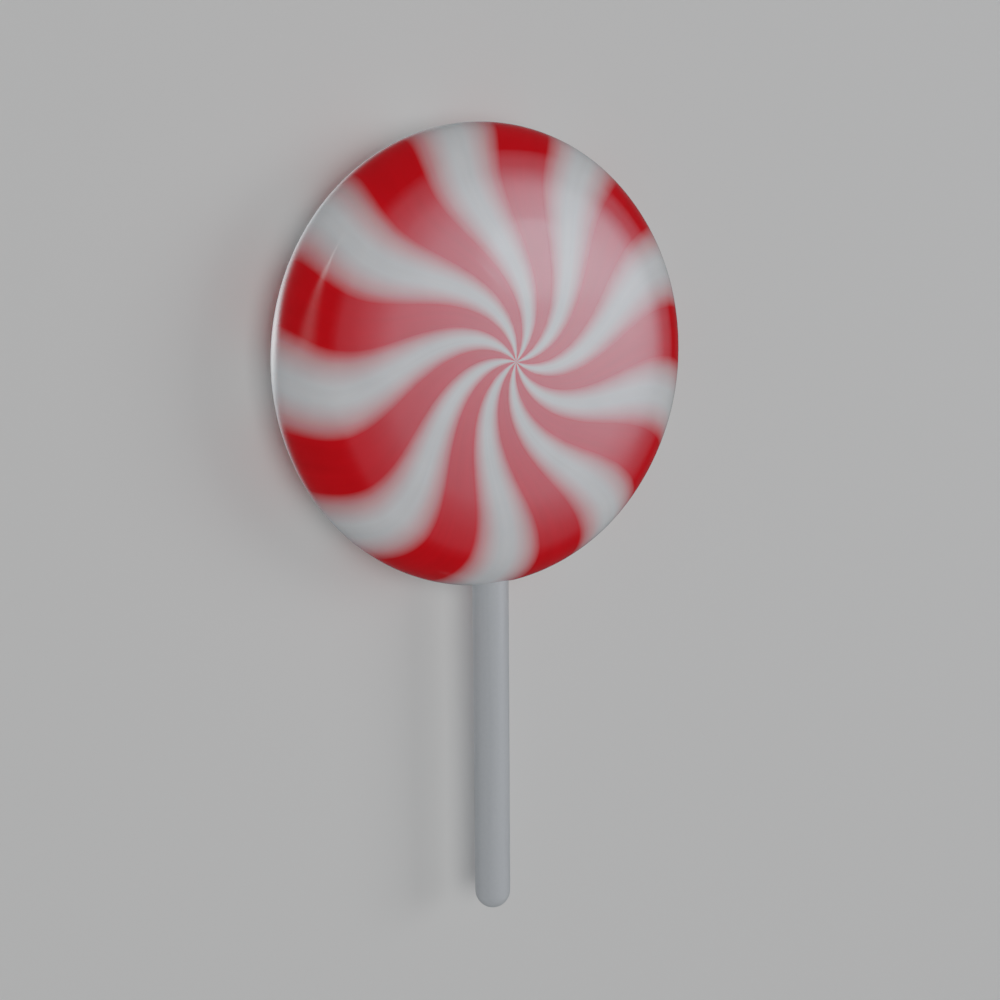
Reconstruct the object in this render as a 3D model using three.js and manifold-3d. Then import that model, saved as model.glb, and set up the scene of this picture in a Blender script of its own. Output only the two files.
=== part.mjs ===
// A pinwheel lollipop: a cast disc of boiled sugar on a white moulded stick.
// It lies on its back with the shown face up. Millimetres, +Z up, +X to the right of the face,
// +Y away from the stick. The origin is the middle of the flat spot that the disc rests on.

import * as THREE from 'three';
import { mergeVertices } from 'three/addons/utils/BufferGeometryUtils.js';
import Module from 'manifold-3d';

// Driving dimensions
const DISC_RADIUS = 24.6;
const DISC_THICKNESS = 10.8;
const RIM_RADIUS = 5; // radius of the fully rounded edge of the disc
const SHOULDER_RADIUS = 60; // radius of the gentle roll between the face and the rounded edge
const SHOULDER_SLOPE = THREE.MathUtils.degToRad(6); // slope where the roll meets the rounded edge
const REST_SPOT_RADIUS = 9; // radius of the flat spot on the disc's back
const STICK_RADIUS = 2;
const STICK_REACH = 62.7; // from the disc's centre to the stick's rounded tip
const STICK_BURIED = 15; // length of stick inside the disc
const SOCKET_GAP = 0.3; // room between the stick and the sugar around it
const CUTTER_OVERSHOOT = 4; // how far the socket's cutter stands out of the rim

// How finely the round shapes are divided
const DISC_SIDES = 96;
const RIM_STEPS = 22;
const SHOULDER_STEPS = 4;
const DOME_STEPS = 2;
const STICK_SIDES = 48;
const TIP_STEPS = 10;

// In cross section each face is a shallow dome centred on the disc's axis, then a shoulder arc, then
// the rounded rim, each tangent to the next. Heights are taken from the disc's middle plane.
const HALF_THICKNESS = DISC_THICKNESS / 2;
const RIM_CENTRE = DISC_RADIUS - RIM_RADIUS;
const SHOULDER_X = RIM_CENTRE - (SHOULDER_RADIUS - RIM_RADIUS) * Math.sin(SHOULDER_SLOPE);
const SHOULDER_DROP = (SHOULDER_RADIUS - RIM_RADIUS) * Math.cos(SHOULDER_SLOPE);
const SHOULDER_EXCESS = SHOULDER_RADIUS - HALF_THICKNESS;
const DOME_DROP =
  (SHOULDER_X ** 2 + SHOULDER_DROP ** 2 - SHOULDER_EXCESS ** 2) / (2 * (SHOULDER_DROP - SHOULDER_EXCESS));
const DOME_RADIUS = HALF_THICKNESS + DOME_DROP;
const REST_SPOT_LEVEL = Math.sqrt(DOME_RADIUS ** 2 - REST_SPOT_RADIUS ** 2) - DOME_DROP;

const STICK_INNER_END = STICK_BURIED - DISC_RADIUS; // along Y, inside the disc

const sugar = new THREE.MeshStandardMaterial({ color: 0xa50f16, roughness: 0.18, metalness: 0 });
const stickPlastic = new THREE.MeshStandardMaterial({ color: 0xe9eaee, roughness: 0.4, metalness: 0 });

// Points along a circular arc, from one angle to another in steps of equal size.
function arc(centreX, centreY, radius, startAngle, endAngle, steps) {
  const clockwise = endAngle < startAngle;
  const curve = new THREE.ArcCurve(centreX, centreY, radius, startAngle, endAngle, clockwise);
  return curve.getPoints(steps);
}

// The disc's half cross section, from the flat spot round the rim to the middle of the front.
function discProfile() {
  const spot = Math.acos(REST_SPOT_RADIUS / DOME_RADIUS);
  const domeEnd = Math.atan2(DOME_DROP - SHOULDER_DROP, SHOULDER_X);
  const rimEnd = Math.PI / 2 - SHOULDER_SLOPE;
  const backDome = arc(0, DOME_DROP, DOME_RADIUS, -spot, -domeEnd, DOME_STEPS);
  const backShoulder = arc(SHOULDER_X, SHOULDER_DROP, SHOULDER_RADIUS, -domeEnd, -rimEnd, SHOULDER_STEPS);
  const rim = arc(RIM_CENTRE, 0, RIM_RADIUS, -rimEnd, rimEnd, RIM_STEPS);
  const shoulder = arc(SHOULDER_X, -SHOULDER_DROP, SHOULDER_RADIUS, rimEnd, domeEnd, SHOULDER_STEPS);
  const dome = arc(0, -DOME_DROP, DOME_RADIUS, domeEnd, Math.PI / 2, DOME_STEPS);
  dome[dome.length - 1].set(0, HALF_THICKNESS);
  return [
    new THREE.Vector2(0, -REST_SPOT_LEVEL),
    ...backDome.slice(0, -1),
    ...backShoulder.slice(0, -1),
    ...rim.slice(0, -1),
    ...shoulder.slice(0, -1),
    ...dome,
  ];
}

// A round bar along Y between two places, square at its inner end.
function barProfile(radius, innerEnd, outerEnd) {
  return [
    new THREE.Vector2(0, outerEnd),
    new THREE.Vector2(radius, outerEnd),
    new THREE.Vector2(radius, innerEnd),
    new THREE.Vector2(0, innerEnd),
  ];
}

// The stick's half section: a round tip, a straight shaft and a square buried end.
function stickProfile() {
  const tipCentre = STICK_RADIUS - STICK_REACH;
  const tip = arc(0, tipCentre, STICK_RADIUS, -Math.PI / 2, 0, TIP_STEPS);
  tip[0].set(0, -STICK_REACH);
  return [...tip, new THREE.Vector2(STICK_RADIUS, STICK_INNER_END), new THREE.Vector2(0, STICK_INNER_END)];
}

// A turned shape as a closed triangle mesh whose neighbouring faces share their vertices.
function turned(profile, sides) {
  const lathe = new THREE.LatheGeometry(profile, sides);
  lathe.deleteAttribute('normal');
  lathe.deleteAttribute('uv');
  const merged = mergeVertices(lathe);
  merged.setIndex(withoutFlatTriangles(merged.index.array));
  return merged;
}

// A turned profile that starts on its axis gives triangles with two corners in one place there.
function withoutFlatTriangles(index) {
  const kept = [];
  for (let i = 0; i < index.length; i += 3) {
    const [a, b, c] = index.slice(i, i + 3);
    if (a !== b && b !== c && c !== a) kept.push(a, b, c);
  }
  return kept;
}

function toManifold(wasm, geometry) {
  const vertProperties = new Float32Array(geometry.attributes.position.array);
  const triVerts = new Uint32Array(geometry.index.array);
  return new wasm.Manifold(new wasm.Mesh({ numProp: 3, vertProperties, triVerts }));
}

function toGeometry(solid) {
  const mesh = solid.getMesh();
  const geometry = new THREE.BufferGeometry();
  geometry.setAttribute('position', new THREE.BufferAttribute(mesh.vertProperties, 3));
  geometry.setIndex(new THREE.BufferAttribute(mesh.triVerts, 1));
  geometry.computeVertexNormals();
  return geometry;
}

// The sugar disc, faces up, with the blind socket in which the stick is held.
function candy(wasm) {
  const disc = turned(discProfile(), DISC_SIDES).rotateX(Math.PI / 2);
  const socketProfile = barProfile(
    STICK_RADIUS + SOCKET_GAP,
    STICK_INNER_END + SOCKET_GAP,
    -DISC_RADIUS - CUTTER_OVERSHOOT,
  );
  const socket = turned(socketProfile, STICK_SIDES);
  const drilled = toManifold(wasm, disc).subtract(toManifold(wasm, socket));
  const mesh = new THREE.Mesh(toGeometry(drilled), sugar);
  mesh.name = 'candy';
  return mesh;
}

function stick() {
  const geometry = turned(stickProfile(), STICK_SIDES);
  geometry.computeVertexNormals();
  const mesh = new THREE.Mesh(geometry, stickPlastic);
  mesh.name = 'stick';
  return mesh;
}

const wasm = await Module();
wasm.setup();

const lollipop = new THREE.Group();
lollipop.position.z = REST_SPOT_LEVEL;
lollipop.add(candy(wasm), stick());

export default lollipop;
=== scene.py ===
import math

import bpy
from mathutils import Matrix, Vector, noise


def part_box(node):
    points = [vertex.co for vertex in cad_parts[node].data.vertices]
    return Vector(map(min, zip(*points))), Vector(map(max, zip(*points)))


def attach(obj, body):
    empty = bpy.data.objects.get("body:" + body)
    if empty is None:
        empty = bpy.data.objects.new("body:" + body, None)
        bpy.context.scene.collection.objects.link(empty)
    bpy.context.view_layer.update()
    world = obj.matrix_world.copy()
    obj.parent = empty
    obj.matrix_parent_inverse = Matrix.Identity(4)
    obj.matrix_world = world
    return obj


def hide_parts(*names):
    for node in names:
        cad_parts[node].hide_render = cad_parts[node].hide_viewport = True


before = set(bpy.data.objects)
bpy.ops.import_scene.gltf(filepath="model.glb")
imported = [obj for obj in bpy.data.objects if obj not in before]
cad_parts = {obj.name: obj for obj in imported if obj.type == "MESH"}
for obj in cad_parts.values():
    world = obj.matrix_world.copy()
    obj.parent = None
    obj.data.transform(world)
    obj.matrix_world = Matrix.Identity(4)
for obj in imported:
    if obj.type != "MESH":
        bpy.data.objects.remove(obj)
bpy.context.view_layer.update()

# The view
# The lollipop lies on its back and the camera looks down on its face from the left, along the line
# of sight that shows it standing upright in a picture. Places are in metres, from the disc's centre.

disc_low, disc_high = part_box("candy")
stick_low, stick_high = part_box("stick")
middle_height = (stick_low.z + stick_high.z) / 2
disc_centre = Vector((0, 0, middle_height))
stick_axis = Vector((0, 1, 0))

camera_from_centre = Vector((-0.0782, 0.0109, 0.1270))
aim_from_centre = Vector((0.0013, -0.0155, 0))
camera_roll = math.radians(-0.35)
LENS = 50  # millimetres
SENSOR = 36  # millimetres

camera_back = (camera_from_centre - aim_from_centre).normalized()
camera_right = stick_axis.cross(camera_back).normalized()
camera_up = camera_back.cross(camera_right)
camera_axes = Matrix((camera_right, camera_up, camera_back)).transposed()
camera_turn = camera_axes.to_4x4() @ Matrix.Rotation(camera_roll, 4, "Z")

camera = bpy.data.objects.new("camera", bpy.data.cameras.new("camera"))
camera.data.lens = LENS
camera.data.sensor_width = SENSOR
camera.matrix_world = Matrix.Translation(disc_centre + camera_from_centre) @ camera_turn
bpy.context.scene.collection.objects.link(camera)
bpy.context.scene.camera = camera


# The candy
# A disc of boiled sugar. Nine red and nine white ropes of sugar are laid side by side, twisted
# together at the middle and pressed flat while warm, with the stick's end caught in the sugar.

DISC_RADIUS = disc_high.x
HALF_THICKNESS = disc_high.z - middle_height
RIM_RADIUS = 0.005
SHOULDER_RADIUS = 0.060
SHOULDER_SLOPE = math.radians(6)
REST_SPOT_RADIUS = 0.009
STICK_RADIUS = stick_high.x

# In cross section each face is a shallow dome, then a shoulder arc, then the rounded rim.
RIM_CENTRE = DISC_RADIUS - RIM_RADIUS
RIM_EDGE = RIM_CENTRE + RIM_RADIUS * math.sin(SHOULDER_SLOPE)
SHOULDER_X = RIM_CENTRE - (SHOULDER_RADIUS - RIM_RADIUS) * math.sin(SHOULDER_SLOPE)
SHOULDER_DROP = (SHOULDER_RADIUS - RIM_RADIUS) * math.cos(SHOULDER_SLOPE)
SHOULDER_EXCESS = SHOULDER_RADIUS - HALF_THICKNESS
DOME_DROP = (SHOULDER_X ** 2 + SHOULDER_DROP ** 2 - SHOULDER_EXCESS ** 2) / (
    2 * (SHOULDER_DROP - SHOULDER_EXCESS)
)
DOME_RADIUS = HALF_THICKNESS + DOME_DROP
DOME_EDGE = DOME_RADIUS * SHOULDER_X / math.hypot(SHOULDER_X, DOME_DROP - SHOULDER_DROP)

FACE_RINGS = 46
RIM_RINGS = 64
SECTORS = 400
CROWDING = 0.86  # how much closer together the sectors stand at the stick than elsewhere

STRIPES = 9
STRIPE_TURN = 360 / STRIPES
TWIST_START = 9.8  # degrees from +X to the middle of a white stripe at the centre
TWIST_SWEEP = 57.1  # degrees that a stripe swings round on its way out
TWIST_RATE = 113.0  # degrees of the sine at the rim
RED_CORE = 7.5  # degrees each side of a red stripe's middle that stay wholly red
RED_REACH = 18.0  # degrees from a red stripe's middle where the white is clean
BLEED_POWER = 1.3

RED_SUGAR = (0.87, 0.004, 0.012, 1)
RED_DEEP = (0.71, 0.003, 0.009, 1)
WHITE_SUGAR = (0.87, 0.89, 0.92, 1)
WHITE_DULL = (0.74, 0.76, 0.785, 1)

THREADS = 22  # sets how many pulled threads the stripes show
THREAD_DRIFT = 2.5  # how soon a thread changes on its way out
THREAD_DETAIL = 3
THREAD_RELIEF = 0.0000032  # metres
CLOUD_SIZE = 0.004
POLISH = 0.07  # roughness of the glassy surface
CLOUD_DULLING = 0.05  # how much the roughness varies with the clouds
THREAD_DULLING = 0.02

UNEVENNESS = 0.000010  # metres of gentle waviness in the pressed faces
WAVE_LENGTH = 0.011
SPOT_BLEND = 0.004  # the waviness of the back grows over this distance round the flat spot
GROOVE_DEPTH = 0.0003  # the sugar draws back from the stick where it goes in
GROOVE_WIDTH = 0.00012


def new_object(name, vertices, faces):
    mesh = bpy.data.meshes.new(name)
    mesh.from_pydata(vertices, [], faces)
    mesh.polygons.foreach_set("use_smooth", [True] * len(mesh.polygons))
    mesh.update()
    piece = bpy.data.objects.new(name, mesh)
    bpy.context.scene.collection.objects.link(piece)
    return piece


def turned_mesh(profile, angles, place):
    """Vertices and faces of a closed turned shape: one point at each end of its profile, rings between."""
    vertices = [place(*profile[0], 0)]
    for radius, height in profile[1:-1]:
        for angle in angles:
            vertices.append(place(radius, height, angle))
    vertices.append(place(*profile[-1], 0))
    count = len(angles)
    rings = len(profile) - 2
    last = len(vertices) - 1
    faces = []
    for sector in range(count):
        following = (sector + 1) % count
        faces.append((0, 1 + following, 1 + sector))
        for ring in range(rings - 1):
            low = 1 + ring * count
            high = low + count
            faces.append((low + sector, low + following, high + following, high + sector))
        top = 1 + (rings - 1) * count
        faces.append((top + sector, top + following, last))
    return vertices, faces


def face_height(radius):
    """Height of the face over the middle plane, from the centre out to the rounded rim."""
    if radius < DOME_EDGE:
        return math.sqrt(DOME_RADIUS ** 2 - radius ** 2) - DOME_DROP
    return math.sqrt(SHOULDER_RADIUS ** 2 - (radius - SHOULDER_X) ** 2) - SHOULDER_DROP


def disc_profile():
    """The half cross section: flat spot, back, rounded rim, front. Heights from the middle plane."""
    face = [RIM_EDGE * step / FACE_RINGS for step in range(FACE_RINGS)]
    spot_level = face_height(REST_SPOT_RADIUS)
    points = [(radius, -min(face_height(radius), spot_level)) for radius in face]
    for step in range(RIM_RINGS + 1):
        angle = (math.pi / 2 - SHOULDER_SLOPE) * (2 * step / RIM_RINGS - 1)
        points.append((RIM_CENTRE + RIM_RADIUS * math.cos(angle), RIM_RADIUS * math.sin(angle)))
    points += [(radius, face_height(radius)) for radius in reversed(face)]
    return points


def disc_place(radius, height, angle):
    """A point of the disc, with the waviness of pressed sugar and the fine groove round the stick."""
    x = radius * math.cos(angle)
    y = radius * math.sin(angle)
    wave = UNEVENNESS * noise.noise(Vector((x, y, height)) / WAVE_LENGTH)
    if height < 0:
        wave *= min(max((radius - REST_SPOT_RADIUS) / SPOT_BLEND, 0), 1)
    if abs(height) < RIM_RADIUS:
        wave *= abs(height) / RIM_RADIUS
    groove = 0
    if y < 0:
        from_axis = math.hypot(x, height)
        groove = GROOVE_DEPTH * math.exp(-max(from_axis - STICK_RADIUS, 0) / GROOVE_WIDTH)
    return Vector((x, y + groove, max(middle_height + height + wave, 0)))


def sector_angles():
    """Angles round the disc, crowded together at the stick, which is at -90 degrees."""
    angles = []
    for sector in range(SECTORS):
        even = 2 * math.pi * sector / SECTORS
        angles.append(even - CROWDING * math.sin(even) - math.pi / 2)
    return angles


def usable(sockets, name):
    """A socket by its name or number. A Mix node has several of one name, with one of them in use."""
    if isinstance(name, int):
        return sockets[name]
    return [socket for socket in sockets if socket.name == name and socket.enabled][0]


class Wire:
    """One socket of a node tree. Arithmetic on wires and numbers adds Math nodes."""

    def __init__(self, tree, socket=None):
        self.tree = tree
        self.socket = socket

    def node(self, kind, settings, sockets, output=0):
        """Adds a node: its settings first, then a value or a wire for each of its sockets."""
        node = self.tree.nodes.new(kind)
        for name, value in settings.items():
            setattr(node, name, value)
        for name, value in sockets.items():
            socket = usable(node.inputs, name)
            if isinstance(value, Wire):
                self.tree.links.new(value.socket, socket)
            else:
                socket.default_value = value
        return Wire(self.tree, usable(node.outputs, output))

    def maths(self, operation, *values):
        return self.node("ShaderNodeMath", {"operation": operation}, dict(enumerate(values)))

    def parts(self):
        """The three numbers of a vector."""
        split = self.node("ShaderNodeSeparateXYZ", {}, {"Vector": self})
        return [Wire(self.tree, socket) for socket in split.socket.node.outputs]

    def noise(self, scale, detail=2):
        """Even noise, about 0.5 on average, at the place that this vector gives."""
        sockets = {"Vector": self, "Scale": scale, "Detail": detail}
        return self.node("ShaderNodeTexNoise", {}, sockets, "Fac")

    def mix(self, share, first, second):
        """A colour between two others."""
        sockets = {"Factor": share, "A": first, "B": second}
        return self.node("ShaderNodeMix", {"data_type": "RGBA"}, sockets, "Result")

    def bump(self, relief):
        """The surface's direction where this height, times the relief in metres, stands on it."""
        sockets = {"Strength": 1.0, "Distance": relief, "Height": self}
        return self.node("ShaderNodeBump", {}, sockets)

    def limited(self):
        """The value held between 0 and 1."""
        return self.node("ShaderNodeClamp", {}, {"Value": self})

    def __add__(self, other):
        return self.maths("ADD", self, other)

    def __radd__(self, other):
        return self.maths("ADD", other, self)

    def __sub__(self, other):
        return self.maths("SUBTRACT", self, other)

    def __rsub__(self, other):
        return self.maths("SUBTRACT", other, self)

    def __mul__(self, other):
        return self.maths("MULTIPLY", self, other)

    def __rmul__(self, other):
        return self.maths("MULTIPLY", other, self)

    def __truediv__(self, other):
        return self.maths("DIVIDE", self, other)

    def __rtruediv__(self, other):
        return self.maths("DIVIDE", other, self)

    def __pow__(self, other):
        return self.maths("POWER", self, other)

    def __rpow__(self, other):
        return self.maths("POWER", other, self)

    def __mod__(self, other):
        return self.maths("FLOORED_MODULO", self, other)

    def __rmod__(self, other):
        return self.maths("FLOORED_MODULO", other, self)

    def __abs__(self):
        return self.maths("ABSOLUTE", self)


def new_material(name, constants):
    """A material with the surface shader's fixed values set. Returns it, its shader and a first wire."""
    material = bpy.data.materials.new(name)
    material.use_nodes = True
    shader = material.node_tree.nodes["Principled BSDF"]
    for socket, value in constants.items():
        shader.inputs[socket].default_value = value
    return material, shader, Wire(material.node_tree)


def feed(shader, socket, wire):
    """Leads a wire into one of a node's named sockets."""
    wire.tree.links.new(wire.socket, shader.inputs[socket])


def pinwheel_sugar():
    """Glassy boiled sugar. The stripes are worked out from the place on the disc."""
    material, shader, start = new_material(
        "pinwheel_sugar",
        {
            "IOR": 1.53,
            "Subsurface Weight": 0.8,
            "Subsurface Radius": (1.0, 0.9, 0.85),
            "Subsurface Scale": 0.003,
        },
    )
    place = start.node("ShaderNodeTexCoord", {}, {}, "Object")
    x, y = place.parts()[:2]
    share = (x * x + y * y) ** 0.5 / DISC_RADIUS
    swing = start.maths("SINE", share * math.radians(TWIST_RATE)) * math.radians(TWIST_SWEEP)
    turn = start.maths("ARCTAN2", y, x) - swing
    across = (turn * (180 / math.pi) - TWIST_START) % STRIPE_TURN - STRIPE_TURN / 2
    bleed = (1 - (abs(across) - RED_CORE) / (RED_REACH - RED_CORE)).limited() ** BLEED_POWER

    # Pulling the ropes draws the sugar into fine threads, which run along every stripe.
    sockets = {
        "X": start.maths("COSINE", turn) * THREADS,
        "Y": start.maths("SINE", turn) * THREADS,
        "Z": share * THREAD_DRIFT,
    }
    threads = start.node("ShaderNodeCombineXYZ", {}, sockets).noise(1, THREAD_DETAIL)
    clouds = place.noise(1 / CLOUD_SIZE)
    shade = (threads + clouds - 0.5).limited()
    red = start.mix(shade, RED_DEEP, RED_SUGAR)
    white = start.mix(shade, WHITE_DULL, WHITE_SUGAR)
    feathering = (threads - 0.5) * bleed * (1 - bleed)
    sugar = start.mix((bleed + feathering).limited(), white, red)

    feed(shader, "Base Color", sugar)
    feed(shader, "Roughness", (clouds - 0.5) * CLOUD_DULLING + (threads - 0.5) * THREAD_DULLING + POLISH)
    feed(shader, "Normal", threads.bump(THREAD_RELIEF))
    return material


disc_vertices, disc_faces = turned_mesh(disc_profile(), sector_angles(), disc_place)
candy = new_object("candy_disc", disc_vertices, disc_faces)
candy.data.materials.append(pinwheel_sugar())
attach(candy, "root")
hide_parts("candy")


# The stick
# A round bar of white plastic with a ball end, moulded in one piece and pushed into the soft sugar.
# Its other end is square and stays hidden in the sugar.

TIP_RINGS = 24
SHAFT_RINGS = 60
STICK_SECTORS = 96

STICK_WHITE = (0.60, 0.635, 0.675, 1)
STICK_SHADE = (0.55, 0.585, 0.625, 1)
FLOW_WIDTH = 0.0005  # the plastic's faint lines of flow run along the stick
FLOW_STRETCH = 0.03
GRAIN_SIZE = 0.00035
GRAIN_RELIEF = 0.0000022
SATIN = 0.35  # roughness
FLOW_DULLING = 0.10
GRAIN_DULLING = 0.10


def stick_profile():
    """Radius and distance along +Y, from the ball end to the square end inside the sugar."""
    points = []
    for step in range(TIP_RINGS + 1):
        angle = math.pi / 2 * step / TIP_RINGS
        points.append((STICK_RADIUS * math.sin(angle), stick_low.y + STICK_RADIUS * (1 - math.cos(angle))))
    shaft_start = stick_low.y + STICK_RADIUS
    for step in range(1, SHAFT_RINGS + 1):
        points.append((STICK_RADIUS, shaft_start + (stick_high.y - shaft_start) * step / SHAFT_RINGS))
    points.append((0, stick_high.y))
    return points


def stick_place(radius, along, angle):
    return Vector((radius * math.sin(angle), along, middle_height + radius * math.cos(angle)))


def stick_plastic():
    """Satin white plastic with faint lines of flow and a fine grain from the mould."""
    material, shader, start = new_material("stick_plastic", {"IOR": 1.49})
    place = start.node("ShaderNodeTexCoord", {}, {}, "Object")
    x, y, z = place.parts()
    drawn = start.node("ShaderNodeCombineXYZ", {}, {"X": x, "Y": y * FLOW_STRETCH, "Z": z})
    flow = drawn.noise(1 / FLOW_WIDTH)
    grain = place.noise(1 / GRAIN_SIZE, detail=1)
    feed(shader, "Base Color", start.mix((flow + grain - 0.5).limited(), STICK_SHADE, STICK_WHITE))
    feed(shader, "Roughness", (flow - 0.5) * FLOW_DULLING + (grain - 0.5) * GRAIN_DULLING + SATIN)
    feed(shader, "Normal", (flow + grain).bump(GRAIN_RELIEF))
    return material


stick_angles = [2 * math.pi * sector / STICK_SECTORS for sector in range(STICK_SECTORS)]
stick_vertices, stick_faces = turned_mesh(stick_profile(), stick_angles, stick_place)
stick = new_object("moulded_stick", stick_vertices, stick_faces)
stick.data.materials.append(stick_plastic())
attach(stick, "root")
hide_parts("stick")


# The floor
# A plain pale round table top of smooth painted board, wide enough to fill the view. The lollipop
# only rests on it.

FLOOR_RADIUS = 2.2
FLOOR_SIDES = 90
FLOOR_PALE = (0.86, 0.86, 0.85, 1)
FLOOR_SHADE = (0.84, 0.84, 0.83, 1)
FLOOR_MOTTLING = 8  # soft patches to a metre
FLOOR_ROUGHNESS = 0.7


def floor_paint():
    """Matt paint, very slightly uneven in tone."""
    material, shader, start = new_material("floor_paint", {"Roughness": FLOOR_ROUGHNESS})
    place = start.node("ShaderNodeTexCoord", {}, {}, "Object")
    feed(shader, "Base Color", start.mix(place.noise(FLOOR_MOTTLING), FLOOR_SHADE, FLOOR_PALE))
    return material


floor_edge = []
for side in range(FLOOR_SIDES):
    angle = 2 * math.pi * side / FLOOR_SIDES
    floor_edge.append((FLOOR_RADIUS * math.cos(angle), FLOOR_RADIUS * math.sin(angle), 0))
floor = new_object("floor", floor_edge, [tuple(range(FLOOR_SIDES))])
floor.data.materials.append(floor_paint())
floor.visible_glossy = False


# The light
# A large softbox stands where the face mirrors it to the camera, and a lamp low on the left draws a
# streak on the shoulder. Three plain fills give the even light. The floor is kept out of the sugar's
# reflections, so the reds stay clear up to the edge.

KEY_DISTANCE = 0.492
KEY_SIZE = 1.0
COOL = (0.93, 0.97, 1.13)

# On the key softbox, in disc radii from its middle: a round bright field, a wide faint halo, and a
# brighter bar that has a rounded left end and fades out to the right.
FIELD_ACROSS = 2.66
FIELD_ALONG = 2.2
FIELD_SIZE = 4.56
FIELD_EDGE = 7.3
FIELD_SOFTNESS = 1.7
HALO_ACROSS = 3.4
HALO_ALONG = 4.8
HALO_SIZE = 12.2
HALO_STRENGTH = 0.21
BAR_ALONG = 2.2
BAR_HALF_HEIGHT = 0.93
BAR_ROUND_FROM = 0.9
BAR_ROUNDING = 1.35
BAR_SOFTNESS = 0.09
BAR_RIGHT_END = 3.2
BAR_FADE = 2.6
BAR_STRENGTH = 0.45

# On the streak lamp, in disc radii from its middle: a slanting strip, thin and bright at its far end,
# wide and dim at its near end.
STREAK_SLANT = 0.36
STREAK_CROSSING = -5.4  # place along the lamp where the strip crosses its middle line
STREAK_WIDTH = 3.55
STREAK_TAPER = 0.6
STREAK_THINNEST = 0.6
STREAK_PEAK = 4.5
STREAK_PEAK_LENGTH = 2.2
STREAK_PEAK_STRENGTH = 1.2
STREAK_STRENGTH = 0.3
STREAK_FAR_END = 10.5
STREAK_FAR_FADE = 4
STREAK_NEAR_END = 8.5
STREAK_NEAR_FADE = 3

# Below the disc, in the parts of a unit direction along X and Y: a bright line and a wide faint glow.
LINE_X = -0.27
LINE_Y = 0.03
LINE_WIDTH = 0.25
LINE_LENGTH = 0.13
LINE_STRENGTH = 4.2
GLOW_X = -0.02
GLOW_Y = 0.08
GLOW_WIDTH = 0.44
GLOW_LENGTH = 0.32
GLOW_STRENGTH = 1.45
HORIZON_FADE = 0.3
SURROUNDINGS = (0.9, 0.95, 1, 1)
AMBIENT = 0.07
BACKDROP = 0.3  # brightness of the pale wall behind the table, which lights nothing


def softbox(name, direction, distance, width, height, power, colour=(1, 1, 1)):
    """A rectangular lamp that faces the disc. Its width runs across the stick, its height along it."""
    light = bpy.data.lights.new(name, "AREA")
    light.shape = "RECTANGLE"
    light.size = width
    light.size_y = height
    light.energy = power
    light.color = colour
    out = Vector(direction).normalized()
    side = stick_axis.cross(out).normalized()
    axes = Matrix((side, out.cross(side), out)).transposed()
    lamp = bpy.data.objects.new(name, light)
    lamp.matrix_world = Matrix.Translation(disc_centre + out * distance) @ axes.to_4x4()
    lamp.visible_camera = False
    bpy.context.scene.collection.objects.link(lamp)
    return lamp


def vary(lamp, glow):
    """Lets glow work out how bright each spot of a lamp is, from the spot's place in disc radii."""
    light = lamp.data
    light.use_nodes = True
    start = Wire(light.node_tree)
    spot = start.node("ShaderNodeNewGeometry", {}, {}, "Parametric")
    across, along = spot.parts()[:2]
    across = (across - 0.5) * (light.size / DISC_RADIUS)
    along = (along - 0.5) * (light.size_y / DISC_RADIUS)
    feed(light.node_tree.nodes["Emission"], "Strength", glow(across, along))


def length(across, along):
    """How long a step is that goes so far each way."""
    return (across * across + along * along) ** 0.5


def bell(distance, size):
    """1 at no distance, falling softly to nothing."""
    return distance.maths("EXPONENT", distance * distance * (-1 / size ** 2))


def fade(distance, edge, softness):
    """1 inside, falling to 0 at the edge."""
    return ((edge - distance) / softness).limited()


def key_glow(across, along):
    """The bright field with its halo and its bar."""
    field = bell(length(across - FIELD_ACROSS, along - FIELD_ALONG), FIELD_SIZE)
    field = field * fade(length(across, along), FIELD_EDGE, FIELD_SOFTNESS)
    halo = bell(length(across - HALO_ACROSS, along - HALO_ALONG), HALO_SIZE) * HALO_STRENGTH
    beyond = across.maths("MINIMUM", across - BAR_ROUND_FROM, 0) / BAR_ROUNDING
    outline = length(beyond, (along - BAR_ALONG) / BAR_HALF_HEIGHT)
    bar = fade(outline, 1, BAR_SOFTNESS) * fade(across, BAR_RIGHT_END, BAR_FADE) * BAR_STRENGTH
    return field + halo + bar


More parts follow.
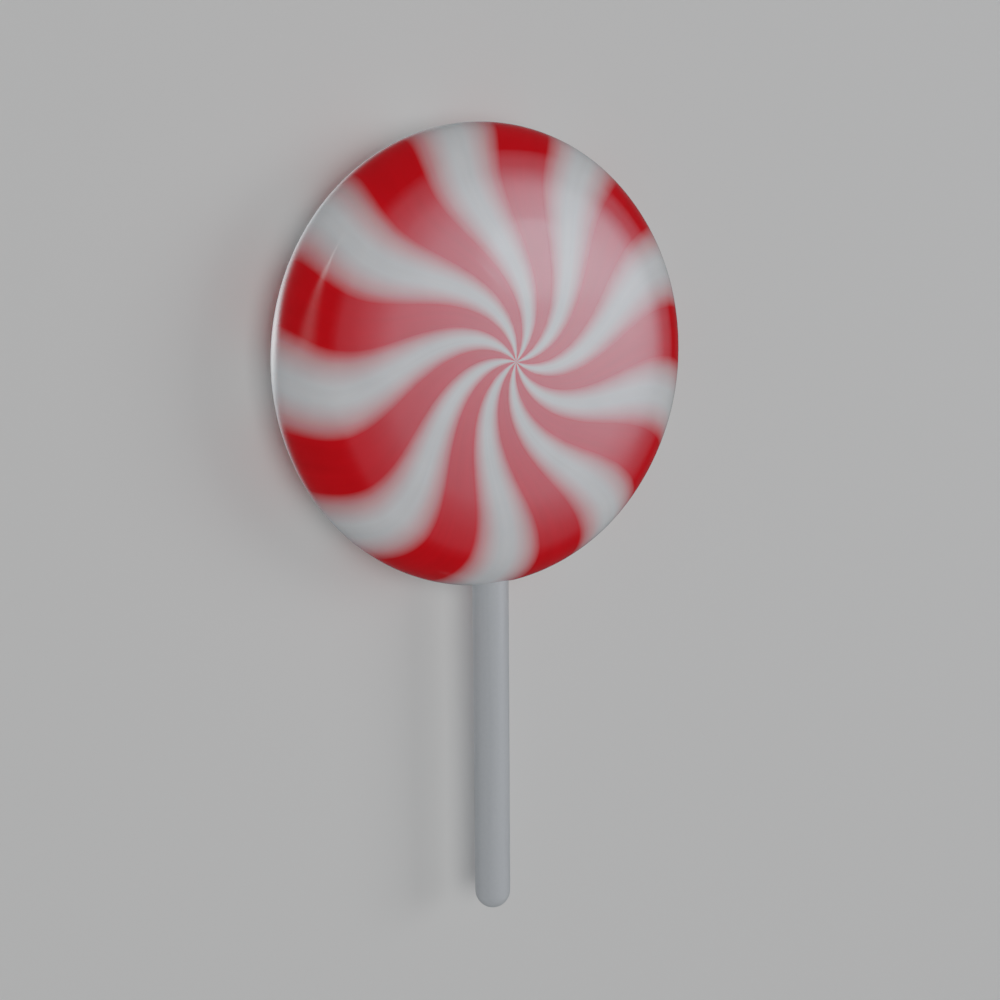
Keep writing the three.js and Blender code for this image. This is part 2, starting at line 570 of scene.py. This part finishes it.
def streak_glow(across, along):
    """The slanting strip, faded out at both ends."""
    width = along.maths("MAXIMUM", STREAK_WIDTH - along * STREAK_TAPER, STREAK_THINNEST)
    strip = bell((across - (along - STREAK_CROSSING) * STREAK_SLANT) / width, 1)
    strength = bell(along - STREAK_PEAK, STREAK_PEAK_LENGTH) * STREAK_PEAK_STRENGTH + STREAK_STRENGTH
    far_end = fade(along, STREAK_FAR_END, STREAK_FAR_FADE)
    near_end = fade(along * -1, STREAK_NEAR_END, STREAK_NEAR_FADE)
    return strip * strength * far_end * near_end


mirrored_camera = (-camera_from_centre.x, -camera_from_centre.y, camera_from_centre.z)
key = softbox("key_softbox", mirrored_camera, KEY_DISTANCE, KEY_SIZE, KEY_SIZE, power=15.6, colour=COOL)
vary(key, key_glow)
streak = softbox("streak_lamp", (-0.82, 0.36, 0.44), distance=0.5, width=0.5, height=0.56, power=2.05)
vary(streak, streak_glow)
for lamp in (key, streak):
    lamp.visible_diffuse = False

overhead = softbox("overhead_fill", (-0.17, 0.04, 0.96), distance=2.8, width=2.0, height=2.0, power=34)
left = softbox("left_fill", (-0.93, 0.05, 0.30), distance=2.4, width=2.0, height=2.0, power=2.4)
right = softbox("right_fill", (0.78, 0.12, 0.60), distance=2.4, width=1.12, height=1.12, power=11)
for lamp in (overhead, left, right):
    lamp.visible_glossy = False

# The disc's far left edge mirrors what is below it, where a glow draws a bright line along the edge.
world = bpy.data.worlds.new("studio")
world.use_nodes = True
surroundings = world.node_tree.nodes["Background"]
surroundings.inputs["Color"].default_value = SURROUNDINGS
start = Wire(world.node_tree)
x, y, z = start.node("ShaderNodeTexCoord", {}, {}, "Generated").parts()
line = bell(length((x - LINE_X) / LINE_WIDTH, (y - LINE_Y) / LINE_LENGTH), 1) * LINE_STRENGTH
glow = bell(length((x - GLOW_X) / GLOW_WIDTH, (y - GLOW_Y) / GLOW_LENGTH), 1) * GLOW_STRENGTH
backdrop = start.node("ShaderNodeLightPath", {}, {}, "Is Camera Ray") * BACKDROP
feed(surroundings, "Strength", (line + glow) * fade(z, 0, HORIZON_FADE) + backdrop + AMBIENT)
bpy.context.scene.world = world
bpy.context.scene.view_settings.view_transform = "Filmic"
